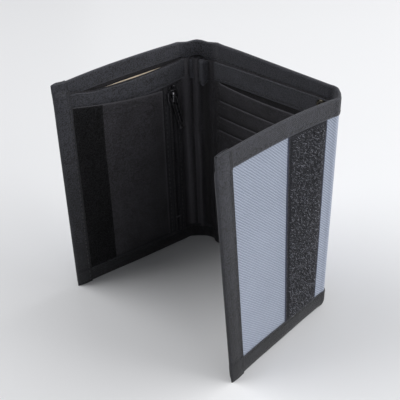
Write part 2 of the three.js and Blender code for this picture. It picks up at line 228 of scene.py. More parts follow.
def stack_depth(u):
    """Depth of the inner leg of the bindings that close the whole stack of layers."""
    panel = np.where(u < U_A0 / 2, LEFT_LEG, np.where(u > (U_B0 + U_B1) / 2, RIGHT_LEG, MIDDLE_LEG))
    return panel + (SPINE_LEG - panel) * spine_share(u)


def inner_line(u):
    """How much higher or lower than INNER_TOP the soft inner wall ends."""
    from_edge, from_fold = u - U_LEFT, smooth((u - U_A0) / 14)
    left = 2.2 * smooth((22 - from_edge) / 14) - 2.35 * arc(from_edge, 12, 77)
    middle = 3.0 * np.clip((u - U_A1) / PANEL, 0, 1) - 1.2 * from_fold
    beyond = middle * (1 - smooth((u - U_B1) / 20)) - 0.45 * (1 - from_fold)
    return np.where(u < U_A0, left, beyond)


EYELET_U, EYELET_HOLE = U_B0 - 5.2, 2.1
EYELET_Z = 113.1 + float(inner_line(EYELET_U))  # it rides on the soft inner wall


# ---- Materials ----


def srgb(r, g, b):
    def linear(c):
        c /= 255
        return c / 12.92 if c <= 0.04045 else ((c + 0.055) / 1.055) ** 2.4

    return (linear(r), linear(g), linear(b), 1.0)


class Look:
    """A node material. Its pattern coordinates are the cloth's own unrolled millimetres."""

    def __init__(self, name, roughness, metallic=0.0, **sockets):
        self.name, self.material = name, bpy.data.materials.new(name)
        self.material.use_nodes = True
        self.tree = self.material.node_tree
        self.shader = self.tree.nodes["Principled BSDF"]
        self.shader.inputs["Roughness"].default_value = roughness
        self.shader.inputs["Metallic"].default_value = metallic
        for socket, value in sockets.items():
            self.shader.inputs[socket.replace("_", " ")].default_value = value
        attribute = self.tree.nodes.new("ShaderNodeAttribute")
        attribute.attribute_name = "cloth"
        self.flat = attribute.outputs["Vector"]
        split = self.tree.nodes.new("ShaderNodeSeparateXYZ")
        self.link(self.flat, split.inputs[0])
        self.u, self.depth, self.z = split.outputs
        # A per-point attribute: above 0 the surface is painted lighter, as rubbing and painted
        # highlight; below 0 it is painted darker, as shade.
        wear_and_painted_light = self.tree.nodes.new("ShaderNodeAttribute")
        wear_and_painted_light.attribute_name = "wear_and_painted_light"
        self.wear_and_painted_light = wear_and_painted_light.outputs["Fac"]

    def link(self, source, target):
        if isinstance(source, bpy.types.NodeSocket):
            self.tree.links.new(source, target)
        else:
            target.default_value = source

    def math(self, kind, *values):
        node = self.tree.nodes.new("ShaderNodeMath")
        node.operation = kind
        for value, target in zip(values, node.inputs):
            self.link(value, target)
        return node.outputs[0]

    def total(self, *terms):
        """The sum of (value, weight) pairs."""
        result = 0.0
        for value, weight in terms:
            result = self.math("MULTIPLY_ADD", value, weight, result)
        return result

    def wave(self, value, pitch, phase=0.0):
        """0 to 1, once every pitch."""
        turned = self.math("MULTIPLY_ADD", value, 2 * math.pi / pitch, phase)
        return self.math("MULTIPLY_ADD", self.math("SINE", turned), 0.5, 0.5)

    def noise(self, scale, detail=2.0, stretch=(1, 1, 1), roughness=0.5):
        mapping = self.tree.nodes.new("ShaderNodeMapping")
        mapping.inputs["Scale"].default_value = stretch
        self.link(self.flat, mapping.inputs["Vector"])
        node = self.tree.nodes.new("ShaderNodeTexNoise")
        self.link(mapping.outputs[0], node.inputs["Vector"])
        node.inputs["Scale"].default_value = scale
        node.inputs["Detail"].default_value = detail
        node.inputs["Roughness"].default_value = roughness
        return node.outputs[0]

    def grain(self, scale, stretch=(1, 1, 1)):
        """Fine grain that fills 0 to 1, as single yarns do in the light."""
        return self.span(self.noise(scale, 2, stretch, 0.6), 0.36, 0.64)

    def span(self, value, low, high, to_low=0.0, to_high=1.0):
        node = self.tree.nodes.new("ShaderNodeMapRange")
        for target, v in zip(node.inputs, (value, low, high, to_low, to_high)):
            self.link(v, target)
        return node.outputs[0]

    def mix(self, share, a, b):
        node = self.tree.nodes.new("ShaderNodeMix")
        node.data_type = "RGBA"
        self.link(share, node.inputs["Factor"])
        self.link(a, node.inputs["A"])
        self.link(b, node.inputs["B"])
        return node.outputs["Result"]

    def tone_shift(self, cloth, strength, light):
        """Lighter where the attribute is above 0, as rubbing and painted highlight, and darker
        below 0, as painted shade in creases and gaps.
        """
        painted_shade = self.mix(self.total((self.wear_and_painted_light, -1)), cloth, srgb(4, 4, 5))
        return self.mix(self.total((self.wear_and_painted_light, strength)), painted_shade, light)

    def between(self, value, low, high, dark, light):
        """From dark, where the value is low, to light; both are sRGB from 0 to 255."""
        return self.mix(self.span(value, low, high), srgb(*dark), srgb(*light))

    def color(self, value):
        self.link(value, self.shader.inputs["Base Color"])
        return self

    def rough(self, value, low, high, smoothest, roughest):
        roughness = self.span(value, low, high, smoothest, roughest)
        self.link(roughness, self.shader.inputs["Roughness"])
        return self

    def raise_by(self, height, distance):
        """Bump, with height from 0 to 1 and its distance in metres."""
        node = self.tree.nodes.new("ShaderNodeBump")
        node.inputs["Distance"].default_value = distance
        self.link(height, node.inputs["Height"])
        self.link(node.outputs[0], self.shader.inputs["Normal"])
        return self


def twill_look():
    look = Look("outer_twill", 0.8, Sheen_Weight=0.25, Sheen_Roughness=0.5)
    slope = math.sqrt(0.5)
    across = look.total((look.u, slope), (look.z, -slope), (look.noise(0.5, 2), 0.5))
    rib = look.wave(across, 1.05)
    yarn = look.wave(look.total((look.u, slope), (look.z, slope)), 0.55)
    fleck = look.noise(1.6, 3, (1, 1, 1), 0.7)
    tone = look.total((rib, 0.55), (yarn, 0.12), (fleck, 0.5), (look.noise(0.05, 2), 0.25))
    look.color(look.between(tone, 0.2, 1.15, (126, 134, 152), (164, 173, 191)))
    return look.raise_by(look.total((rib, 0.6), (yarn, 0.15), (fleck, 0.3)), 0.00022)


def nylon_look():
    sheen = {"Sheen_Weight": 0.05, "Sheen_Roughness": 0.6}
    look = Look("black_nylon", 0.55, Specular_IOR_Level=0.35, **sheen)
    weave = look.math("MULTIPLY", look.wave(look.u, 0.5), look.wave(look.z, 0.5, 0.8))
    grain, crinkle = look.grain(1.5), look.noise(0.11, 3, (1, 1, 0.6))
    tone = look.total((weave, 0.25), (grain, 0.8), (crinkle, 0.5))
    cloth = look.between(tone, 0.4, 1.12, (9, 8, 11), (60, 58, 65))
    # Ridges and hems painted lighter, as rubbing and highlight; creases and gaps painted darker, as
    # shade.
    look.color(look.tone_shift(cloth, 0.8, srgb(98, 97, 103)))
    look.rough(grain, 0, 1, 0.45, 0.75)
    return look.raise_by(look.total((weave, 0.3), (grain, 0.35), (crinkle, 2.5)), 0.0003)


def binding_look():
    """Tape in a crosswise weave, painted darker towards the foot as shade, where less light falls.
    """
    sheen = {"Sheen_Weight": 0.1, "Sheen_Roughness": 0.5}
    look = Look("binding_tape", 0.65, Specular_IOR_Level=0.35, **sheen)
    rib = look.wave(look.math("ADD", look.u, look.z), 0.9)
    cross = look.wave(look.math("SUBTRACT", look.u, look.z), 0.9)
    weave = look.math("MAXIMUM", rib, cross)
    grain, tone_shift = look.grain(1.6), look.noise(0.16, 3)
    # Painted shade: the tape is darker towards the foot.
    painted_foot_shade = look.span(look.z, 0, 0.9 * HEIGHT, -0.43, 0)
    tone = look.total((weave, 0.2), (grain, 0.85), (tone_shift, 0.45), (painted_foot_shade, 1))
    cloth = look.between(tone, 0.34, 1.17, (12, 12, 16), (67, 68, 76))
    # Hems and turns painted lighter as highlight; creases and seams painted darker as shade.
    look.color(look.tone_shift(cloth, 0.3, srgb(92, 93, 101)))
    look.rough(grain, 0, 1, 0.5, 0.78)
    return look.raise_by(look.total((weave, 0.35), (grain, 0.4), (tone_shift, 0.8)), 0.0003)


def thread_look():
    look = Look("sewing_thread", 0.5, Sheen_Weight=0.2, Sheen_Roughness=0.4)
    strand = look.wave(look.total((look.u, 1), (look.z, 1.7)), 0.45)
    look.color(look.between(strand, 0, 1, (12, 12, 14), (42, 42, 46)))
    return look.raise_by(strand, 0.0001)


def hook_look():
    look = Look("hook_nylon", 0.35)
    tone = look.noise(0.9, 3, (1, 1, 0.5), 0.65)
    # The light flecks are painted glints on the hooks.
    look.color(look.between(tone, 0.42, 0.62, (14, 14, 18), (164, 166, 176)))
    return look.raise_by(look.noise(3.0, 2), 0.0001)


def hook_base_look():
    """The tape under the hooks; its plain selvedges are a lighter tone."""
    look = Look("hook_base", 0.75, Sheen_Weight=0.05, Specular_IOR_Level=0.3)
    rows, fleck = look.wave(look.z, 0.9), look.noise(1.2, 3, (1, 1, 0.5), 0.65)
    tone = look.total((rows, 0.3), (fleck, 0.9))
    cloth = look.between(tone, 0.4, 0.9, (6, 7, 12), (46, 47, 55))
    look.color(look.mix(look.wear_and_painted_light, cloth, srgb(74, 79, 98)))
    return look.raise_by(tone, 0.0002)


def loop_look():
    look = Look("loop_pile", 0.9, Sheen_Weight=0.04, Sheen_Roughness=0.7, Specular_IOR_Level=0.2)
    tone = look.total((look.grain(1.3), 0.7), (look.noise(0.12, 3), 0.4))
    look.color(look.between(tone, 0.25, 0.95, (3, 3, 4), (40, 40, 44)))
    return look.raise_by(tone, 0.0003)


def zip_tape_look():
    """Ribs with a herringbone across them."""
    look = Look("zip_tape_weave", 0.75, Sheen_Weight=0.05, Specular_IOR_Level=0.3)
    bone = look.wave(look.total((look.wave(look.u, 1.4), 0.5), (look.z, 1)), 0.8)
    tone = look.total((look.wave(look.u, 0.7), 0.4), (bone, 0.3), (look.noise(1.1, 2), 0.4))
    look.color(look.between(tone, 0.2, 0.95, (14, 14, 16), (60, 60, 66)))
    return look.raise_by(tone, 0.0002)


def coil_look():
    look = Look("zip_coil_nylon", 0.36)
    tone = look.noise(0.6, 2)
    look.color(look.between(tone, 0.3, 0.7, (34, 34, 38), (82, 82, 88)))
    return look.rough(tone, 0.3, 0.7, 0.3, 0.45)


def metal_look(name, dark, light, roughness):
    look = Look(name, roughness, metallic=1.0)
    tone_shift, brushed = look.noise(0.9, 4, (1, 1, 1), 0.6), look.noise(2.5, 2, (4, 1, 0.6))
    lacquer = look.between(tone_shift, 0.35, 0.7, dark, light)
    # Above 0 the metal is painted pale: a painted highlight on the pull's rims and spine, and on
    # the slider's crown with rubbed lacquer.
    look.color(look.mix(look.wear_and_painted_light, lacquer, srgb(205, 204, 208)))
    scratches = look.total((tone_shift, 1), (brushed, 1))
    look.rough(scratches, 0.6, 1.4, roughness - 0.08, roughness + 0.14)
    return look.raise_by(tone_shift, 0.00005)


def card_look():
    look = Look("kraft_card", 0.8)
    fibre = look.noise(0.9, 5, (1, 1, 0.25), 0.7)
    tone = look.total((fibre, 0.7), (look.noise(0.08, 2), 0.4))
    look.color(look.between(tone, 0.3, 0.8, (222, 200, 172), (246, 232, 210)))
    return look.raise_by(fibre, 0.00006)


def film_look():
    look = Look("clear_film", 0.12, Transmission_Weight=0.9, IOR=1.46)
    look.color(srgb(228, 232, 236))
    haze = look.noise(0.14, 3)
    look.rough(haze, 0.3, 0.7, 0.06, 0.22)
    return look.raise_by(haze, 0.0004)


TWILL, NYLON, BINDING = twill_look(), nylon_look(), binding_look()
THREAD, HOOKS, HOOK_BASE, PILE = thread_look(), hook_look(), hook_base_look(), loop_look()
ZIP_TAPE, COIL = zip_tape_look(), coil_look()
GUNMETAL = metal_look("zip_metal", (58, 58, 62), (110, 110, 114), 0.3)
BRONZE = metal_look("eyelet_metal", (50, 48, 42), (90, 86, 77), 0.26)
KRAFT, FILM = card_look(), film_look()


# ---- Meshes ----


def shell_faces(keep):
    """Faces of a closed sheet made of two grids of points, with the squares that keep marks."""
    n, m = keep.shape[0] + 1, keep.shape[1] + 1
    i, j = np.nonzero(keep)
    a = i * m + j
    near = np.stack([a, a + m, a + m + 1, a + 1], 1)
    faces = [near, near[:, ::-1] + n * m]
    around = np.pad(keep, 1)
    for side, (di, dj) in enumerate(((0, -1), (1, 0), (0, 1), (-1, 0))):
        rim = ~around[i + 1 + di, j + 1 + dj]
        p, q = near[rim, side], near[rim, (side + 1) % 4]
        faces.append(np.stack([q, p, p + n * m, q + n * m], 1))
    return np.concatenate(faces)


def ring_faces(rings, count, closed=False):
    """Quads between rings of count points. The last ring joins the first, or both are capped."""
    grids = np.meshgrid(np.arange(rings - 1 + closed), np.arange(count), indexing="ij")
    i, j = (g.ravel() for g in grids)
    low, high, beside = i * count, (i + 1) % rings * count, (j + 1) % count
    faces = np.stack([low + j, low + beside, high + beside, high + j], 1).tolist()
    if not closed:
        faces += [list(range(count))[::-1], list(range((rings - 1) * count, rings * count))]
    return faces


def tube(path, radius, sides=6, up=(0, 1, 0)):
    """Points and faces of a tube round a path, with capped ends."""
    path = np.asarray(path, float)
    radius = np.broadcast_to(np.asarray(radius, float), (len(path),))
    tangent = np.gradient(path, axis=0)
    tangent /= np.linalg.norm(tangent, axis=1, keepdims=True)
    side = np.cross(tangent, up)
    side /= np.linalg.norm(side, axis=1, keepdims=True)
    rise = np.cross(side, tangent)
    turn = 2 * math.pi * np.arange(sides) / sides
    ring = side[:, None] * np.cos(turn)[None, :, None] + rise[:, None] * np.sin(turn)[None, :, None]
    points = (path[:, None] + ring * radius[:, None, None]).reshape(-1, 3)
    return points, ring_faces(len(path), sides)


class Piece:
    """Collects points in unrolled millimetres, then becomes one Blender object."""

    def __init__(self, name, slot, *looks):
        self.name, self.slot, self.looks = name, slot, looks
        self.flat, self.wear_and_painted_light, self.faces, self.index, self.count = [], [], [], [], 0

    def add(self, points, faces, look=0, wear_and_painted_light=0.0):
        points = np.asarray(points, float).reshape(-1, 3)
        self.wear_and_painted_light.append(np.broadcast_to(wear_and_painted_light, len(points)))
        faces = [[int(v) + self.count for v in f] for f in faces]
        self.flat.append(points)
        self.faces += faces
        self.index += [look] * len(faces)
        self.count += len(points)
        return self

    def shell(self, near, far, look=0, wear_and_painted_light=0.0, hole=None):
        """A closed sheet between two grids of points; its painted light and rubbing may be an array
        over the grid.
        The hole is a function that marks the places, by their u and z, that are left out."""
        n, m = near.shape[:2]
        wear_and_painted_light = np.tile(np.broadcast_to(wear_and_painted_light, (n, m)).ravel(), 2)
        points = np.concatenate([near.reshape(-1, 3), far.reshape(-1, 3)])
        middle = (near[:-1, :-1] + near[1:, :-1] + near[:-1, 1:] + near[1:, 1:]) / 4
        keep = ~hole(middle[..., 0], middle[..., 2]) if hole else np.ones((n - 1, m - 1), bool)
        faces = shell_faces(keep)
        corner = points[faces[0]]
        normal = np.cross(corner[1] - corner[0], corner[3] - corner[0])
        if normal @ (points[n * m] - points[0]) > 0:
            faces = faces[:, ::-1]
        used, faces = np.unique(faces, return_inverse=True)
        return self.add(points[used], faces.reshape(-1, 4), look, wear_and_painted_light[used])

    def strew(self, template, centres, along, out, look=0, scale=1.0):
        """Copies of a template, whose axes are along, across and out."""
        points, faces = template
        centres = np.asarray(centres, float).reshape(-1, 3)
        along = np.broadcast_to(np.asarray(along, float), centres.shape)
        out = np.broadcast_to(np.asarray(out, float), centres.shape)
        across = np.cross(out, along)
        scale = np.broadcast_to(np.asarray(scale, float), (len(centres),))[:, None, None]
        basis = np.stack([along, across, out], 1)
        spread = centres[:, None] + scale * np.einsum("tk,nkc->ntc", points, basis)
        size = len(points)
        for k in range(len(centres)):
            for f in faces:
                self.faces.append([v + self.count + k * size for v in f])
        self.index += [look] * (len(faces) * len(centres))
        self.flat.append(spread.reshape(-1, 3))
        self.wear_and_painted_light.append(np.zeros(size * len(centres)))
        self.count += size * len(centres)
        return self

    def build(self, replaces, body=None, segment=None):
        """The folded mesh. It rides on a body; a segment stays where place() folded it."""
        flat = np.concatenate(self.flat)
        mesh = bpy.data.meshes.new(self.name)
        mesh.from_pydata(place(flat).tolist(), [], self.faces)
        for look in self.looks:
            mesh.materials.append(look.material)
        mesh.polygons.foreach_set("material_index", np.array(self.index, np.int32))
        mesh.polygons.foreach_set("use_smooth", np.ones(len(self.faces), bool))
        cloth = mesh.attributes.new("cloth", "FLOAT_VECTOR", "POINT")
        cloth.data.foreach_set("vector", flat.astype(np.float32).ravel())
        wear_and_painted_light = mesh.attributes.new("wear_and_painted_light", "FLOAT", "POINT")
        wear_and_painted_light.data.foreach_set("value", np.concatenate(self.wear_and_painted_light).astype(np.float32))
        mesh.update()
        mesh.validate()
        mesh.set_sharp_from_angle(angle=math.radians(50))
        made = bpy.data.objects.new(self.name, mesh)
        bpy.context.scene.collection.objects.link(made)
        if segment:
            _, _, a, b, hinge, soft = SEGMENTS[segment]
            ends = place(np.array([[hinge - soft, 0, 0], [hinge + soft, 0, 0]]))
            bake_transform(made)
        else:
            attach(made, body)
        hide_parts(*replaces)
        return made


def steps(start, end, pitch, *fine):
    """Stations from start to end, closer together within 8 mm of the values in fine."""
    points = [start]
    while points[-1] < end - 1e-6:
        near = any(abs(points[-1] - f) < 8 for f in fine)
        points.append(min(end, points[-1] + (min(pitch, 0.65) if near else pitch)))
    if len(points) > 2 and points[-1] - points[-2] < 0.2:
        points.pop(-2)
    return np.array(points)


def u_steps(start, end, pitch=1.6):
    return steps(start, end, pitch, U_A0, U_A1, U_B0, U_B1)


def eyelet_hole(u, z):
    return np.hypot(u - EYELET_U, z - EYELET_Z) < EYELET_HOLE


def sheet_grids(us, zs, near, far):
    """Two grids of points over u and z; near and far are depths, or functions of u and z."""
    u, z = np.meshgrid(us, zs, indexing="ij")
    grids = []
    for depth in (near, far):
        d = depth(u, z) if callable(depth) else np.full_like(u, depth)
        grids.append(np.stack([u, d, z], -1))
    return grids


HEM = (0, 0.14, 0.5, 1.0, 1.25, 1.5, 1.75, 2.1)  # rows of a tape's leg, from its edge
LEG = np.linspace(0.2, 1, 9)  # the rest of the leg, as shares
TURN = np.linspace(math.pi / 2, -math.pi / 2, 11)[1:-1]


def fold_profile(reach0, reach1, d0, d1):
    """Tape folded round an edge: rows of (distance from the edge, depth) on its two faces.
    Every argument may be an array over the stations."""
    values = (np.atleast_1d(np.asarray(v, float)) for v in (reach0, reach1, d0, d1))
    reach0, reach1, d0, d1 = np.broadcast_arrays(*values)
    radius = (d1 - d0) / 2
    nose = np.minimum(radius, 1.3)

    def leg(reach, depth, sign):
        rows = [(reach - h, depth + sign * 0.12 * swell(h, STITCH_INSET, 0.45)) for h in HEM]
        return rows + [(reach + (nose - reach) * t, depth) for t in LEG]

    turn = [(nose * (1 - math.cos(p)), (d0 + d1) / 2 - radius * math.sin(p)) for p in TURN]
    rows = leg(reach0, d0, 1) + turn + leg(reach1, d1, -1)[::-1]
    centre = np.stack([np.stack(np.broadcast_arrays(a, d), -1) for a, d in rows], 1)
    slope = np.gradient(centre, axis=1)
    slope /= np.linalg.norm(slope, axis=2, keepdims=True)
    normal = np.stack([slope[..., 1], -slope[..., 0]], -1)
    thick = np.full(len(rows), TAPE / 2)
    thick[[0, -1]] *= 0.45
    offset = normal * thick[None, :, None]
    return centre + offset, centre - offset


# Painted highlights: the hems and the turn of each tape are lighter, where edges catch the light.
LEG_HIGHLIGHT = [swell(h, 0, 0.5) for h in HEM] + [0.0] * len(LEG)
TAPE_HIGHLIGHT = np.array(LEG_HIGHLIGHT + [0.35] * len(TURN) + LEG_HIGHLIGHT[::-1])
SEAM_SHADE_AND_HIGHLIGHT = np.where(TAPE_HIGHLIGHT == 0.35, 0.25, -TAPE_HIGHLIGHT)  # side bindings have painted shadow in their seams, and a painted highlight on the turn


def to_flat(profile, stations, sign, edge, upright=False):
    """Profile rows of (distance from the edge, depth) at each station, as unrolled points."""
    away, depth = profile[..., 0], profile[..., 1]
    s = np.broadcast_to(stations[:, None], away.shape)
    at = edge + sign * away
    return np.stack([at, depth, s] if upright else [s, depth, at], -1)


def stitch_template():
    """One stitch, 2.2 mm long, whose ends dip into the cloth."""
    t = np.array([-1, -0.82, -0.3, 0.3, 0.82, 1])
    path = np.stack([t * 1.1, np.zeros(6), -0.16 * np.abs(t) ** 6], 1)
    return tube(path, 0.19 * np.array([0.45, 0.9, 1, 1, 0.9, 0.45]))


STITCH, STITCH_PITCH = stitch_template(), 2.9
U_AXIS, DEPTH_AXIS, Z_AXIS = np.eye(3)


def stitch_row(piece, start, end, at, surface, side, upright=False, pitch=STITCH_PITCH):
    """A row of stitches from start to end, which run along u or upright.
    Where it runs, at, and its depth, surface, are numbers or functions of the station."""
    count = max(1, int((end - start) / pitch))
    s = start + (np.arange(count) + 0.5) * (end - start) / count
    depth = surface(s) if callable(surface) else np.full(count, float(surface))
    at = at(s) if callable(at) else np.full(count, float(at))
    s = s + rng.normal(0, 0.05, count)
    at = at + rng.normal(0, 0.03, count)
    points = [at, depth, s] if upright else [s, depth, at]
    along = Z_AXIS if upright else U_AXIS
    piece.strew(STITCH, np.stack(points, 1), along, side * DEPTH_AXIS, 1)


def clipped(segment, low, high):
    start, end = SEGMENTS[segment][:2]
    return max(start, low), min(end, high)


def level(value):
    """A function of one or more coordinates that is the same everywhere."""
    return lambda u, *_: np.full(np.shape(u), float(value))


# ---- Cloth that runs the whole length ----


def gathers(u, z):
    """Upright folds in fold A's inner cloth: one fat roll, with a hem beside it."""
    wander = 0.5 * np.sin(z / 19) + 0.25 * np.sin(z / 7.5 + 1)
    roll = (2.6 + 0.4 * np.sin(z / 14)) * swell(u, -9.7 + wander, 1.9)
    side = 0.8 * swell(u, -15.0 + wander / 2, 1.4) * smooth(z / 60)
    hem = -0.5 * swell(u, -12.5 + wander / 2, 0.45)
    right = 1.5 * swell(u, -1.6, 2.0) * (0.85 + 0.15 * np.sin(z / 11))
    foot = smooth((z - 2) / 22)
    return (roll + side + right) * foot + hem


def lean_back(u, z=HEIGHT):
    """The inner wall's top rests against the outer wall, except where the card holds it off."""
    card = smooth((u - U_LEFT - 4) / 10) * smooth((U_LEFT + 70 - u) / 8)
    return -0.3 * smooth((z - 96) / 16) * (1 - card) * (1 - spine_share(u))


def inner_wall_depth(face):
    def depth(u, z):
        base = INNER_WALL[face] + (SPINE_CLOTH[face] - INNER_WALL[face]) * spine_share(u)
        return base + gathers(u, z) + lean_back(u, z)

    return depth


def owners(names):
    """The CAD nodes of a long sheet or binding, by the segment that stands for them."""
    bodies = (["left"], ["fold_a"], ["middle"], ["fold_b", "right"])
    return {segment: [b + names for b in bodies[k]] for k, segment in enumerate(SEGMENTS)}


def sheet_heights(top, count):
    """Stations from the bottom to the top of a long sheet, with more of them at the eyelet."""
    eyelet = EYELET_Z + np.linspace(-2.4, 2.4, 9)
    return np.unique(np.concatenate([np.linspace(EDGE_INSET, top - EDGE_INSET, count), eyelet]))


def long_sheet(base, look, zs, depths, nodes, pitch=1.6, rise=level(0), wear_and_painted_light=level(0)):
    """A sheet of cloth along the whole length, in segments. Its z rises by a function of u,
    and its painted light and shade is a function of u and z."""
    for segment in SEGMENTS:
        start, end = clipped(segment, U_LEFT + EDGE_INSET, U_RIGHT - EDGE_INSET)
        piece = Piece(f"{base}_{segment}", look.name, look)
        faces = sheet_grids(u_steps(start, end, pitch), zs, *depths)
        for face in faces:
            face[..., 2] += rise(face[..., 0]) * smooth(face[..., 2] / INNER_TOP)
        piece.shell(*faces, wear_and_painted_light=wear_and_painted_light(faces[1][..., 0], faces[1][..., 2]), hole=eyelet_hole)
        made = piece.build(nodes[segment], segment=segment)


def long_binding(
    base, edge, sign, reaches, depths, pitch=2.0, seams=(-1, 1),
    rise=level(0), shade=level(0), hole=None,
):
    """A folded tape along the whole length, in segments, with stitches on the sides in seams.
    Sign says whether it lies above or below its edge; rise and shade add to its z and to its
    painted highlight and shade."""
    for segment, nodes in owners("_" + base).items():
        us = u_steps(*clipped(segment, U_LEFT + 1.2, U_RIGHT - 1.2), pitch)
        profile = fold_profile(*(f(us) for f in (*reaches, *depths)))
        piece = Piece(f"{base}_{segment}", "binding_tape", BINDING, THREAD)
        faces = [to_flat(face, us, sign, edge) for face in profile]
        for face in faces:
            face[..., 2] += rise(us)[:, None]
        piece.shell(*faces, wear_and_painted_light=TAPE_HIGHLIGHT + shade(us)[:, None], hole=hole)
        lo, hi = clipped(segment, U_LEFT + SIDE_BINDING + 0.5, U_RIGHT - SIDE_BINDING - 0.5)
        for side in seams:
            reach, depth = reaches[side > 0], depths[side > 0]
            line = lambda s: edge + rise(s) + sign * (reach(s) - STITCH_INSET)
            stitch_row(piece, lo, hi, line, lambda s: depth(s) + side * STITCH_LIFT, side)
        piece.build(nodes, segment=segment)


def pouch(u):
    """The inner binding is gathered in fold A, and its biggest gather hangs down as a pouch."""
    return 1.6 * swell(u, -12.2, 1.3) + 3.2 * swell(u, -6.9, 2.4) - 0.5 * swell(u, -14.4, 0.8)


def inner_front_reach(u):
    return INNER_FRONT + 3.6 * swell(u, -6.6, 2.6)


def inner_back_reach(u):
    return INNER_BACK + (1.4 - INNER_BACK) * spine_share(u)


def inner_front_depth(u):
    return 3.25 + (SPINE_LEG - 3.25) * spine_share(u) + pouch(u) + lean_back(u)


def inner_back_depth(u):
    return 2.375 + (1.62 - 2.375) * spine_share(u) + lean_back(u)


def inner_top_shade(u):
    """The gathers' ridges are painted pale, as rubbing and highlight, and the creases between them
    dark, as painted shade.
    """
    ridges = 0.9 * swell(u, -12.4, 1.0) + 1.2 * swell(u, -7.6, 1.9)
    creases = 0.8 * swell(u, -14.2, 0.7) + 1.0 * swell(u, -10.0, 0.8) + 0.9 * swell(u, -2.9, 1.0)
    return ridges - creases


def outer_top_depth(u):
    return 1.75 - 0.2 * spine_share(u) - 0.15 * (u < U_A0)


def outer_top_reach(u):
    """The outer binding's inner leg hangs lower beyond fold A, and meets the gathers inside it."""
    beyond = 1.4 * (u > U_A0) * (1 - spine_share(u))
    return TOP_BINDING - 0.6 + beyond + 1.5 * bump(u, -3.3, 5) + 0.9 * bump(u, -15.5, 3.5)


def inner_wall_wear_and_painted_light(u, z):
    """Ridges painted pale, as rubbing and highlight, and creases painted dark, as shade, in fold A,
    and painted shade on the wall behind the mouth of the first slot.
    """
    wear_and_painted_light = 0.7 * swell(u, -11.7, 0.4) + 0.5 * swell(u, -9.7, 1.3)
    wear_and_painted_light += 0.55 * bump(u, -16, 4.5) - 0.75 * swell(u, -5.4, 1.7) - 0.6 * swell(u, -12.7, 0.5)
    # Painted shade behind the first slot's mouth.
    mouth = smooth((u - 5.3) / 1) * smooth((U_B0 - 4 - u) / 2) * bump(z, SLOT_TOPS[0], 3.5)
    return wear_and_painted_light - 0.8 * mouth


def bill_shade(_, z):
    """The lining is dark inside the bill opening."""
    return -bump(z, 112, 7)


bottom, top = (level(BOTTOM_OUTER), level(BOTTOM_INNER)), (level(TOP_BINDING), outer_top_reach)
long_binding("bottom_binding", 0, 1, bottom, (level(0), stack_depth))
long_binding("top_outer_binding", HEIGHT, -1, top, (level(0), outer_top_depth))
reaches, depths = (inner_back_reach, inner_front_reach), (inner_back_depth, inner_front_depth)
long_binding(
    "top_inner_binding", INNER_TOP, -1, reaches, depths, 1.6, seams=(1,),
    rise=inner_line, shade=inner_top_shade, hole=eyelet_hole,
)
cover_heights = sheet_heights(HEIGHT, 50)
long_sheet("outer_cover", TWILL, cover_heights, COVER, owners("_outer_cover"))
long_sheet("bill_lining", NYLON, cover_heights, LINING, owners("_bill_lining"), wear_and_painted_light=bill_shade)
walls = dict(zip(SEGMENTS, (
    ["left_inner_wall"],
    ["fold_a_inner_cloth"],
    ["middle_inner_wall"],
    ["fold_b_inner_cloth", "right_inner_wall"],
)))
wall_depths = inner_wall_depth(0), inner_wall_depth(1)
wall = sheet_heights(INNER_TOP, 60), wall_depths, walls
long_sheet("inner_wall", NYLON, *wall, 1.5, inner_line, inner_wall_wear_and_painted_light)


def side_binding(name, body, edge, direction, leg):
    """The tape of a free edge. It swells over the ends of the long bindings that it covers,
    and closes above the inner wall."""
    zs = steps(0, HEIGHT, 1.8, 4.5, HEIGHT - 4.5)
    lap = smooth((BOTTOM_OUTER + 1.5 - zs) / 1.8)
    lap = np.maximum(lap, smooth((zs - HEIGHT + TOP_BINDING + 1.5) / 1.8))
    inner_lap = np.maximum(smooth((BOTTOM_INNER + 1.5 - zs) / 1.8), bump(zs, INNER_TOP - 6, 10))
    top = smooth((zs - INNER_TOP - inner_line(edge) - 0.3) / 3)
    outer = -0.02 - 0.3 * lap
    inner = (leg + 0.4 * inner_lap) * (1 - top) + 2.1 * top
    profile = fold_profile(SIDE_BINDING, SIDE_BINDING, outer, inner)
    piece = Piece(name, "binding_tape", BINDING, THREAD)
    faces = [to_flat(face, zs, direction, edge, upright=True) for face in profile]
    piece.shell(*faces, wear_and_painted_light=SEAM_SHADE_AND_HIGHLIGHT)
    at = edge + direction * (SIDE_BINDING - STITCH_INSET)
    for depth, side in ((outer, -1), (inner, 1)):
        surface = lambda s: np.interp(s, zs, depth) + side * STITCH_LIFT
        stitch_row(piece, 1, HEIGHT - 1, at, surface, side, True)
    piece.build([name], body)


side_binding("left_side_binding", "left_panel", U_LEFT, 1, LEFT_LEG)
side_binding("right_side_binding", "right_panel", U_RIGHT, -1, RIGHT_LEG)


# ---- Left panel ----


def hem_line(u):
    """Top edge of the coin pocket, which slopes from the free edge down to the zip."""
    return POCKET_TOP - 1.9 + 11.5 * np.clip(1 - (u - U_LEFT) / 63, 0, 1) ** 1.5


def over_binding(z):
    """Layers on the inner wall step up where they pass over its top binding."""
    return 0.5 * smooth((z - INNER_TOP + INNER_FRONT + 2.2) / 2.6)


POCKET_U = U_LEFT + EDGE_INSET, ZIP_U - 5.1


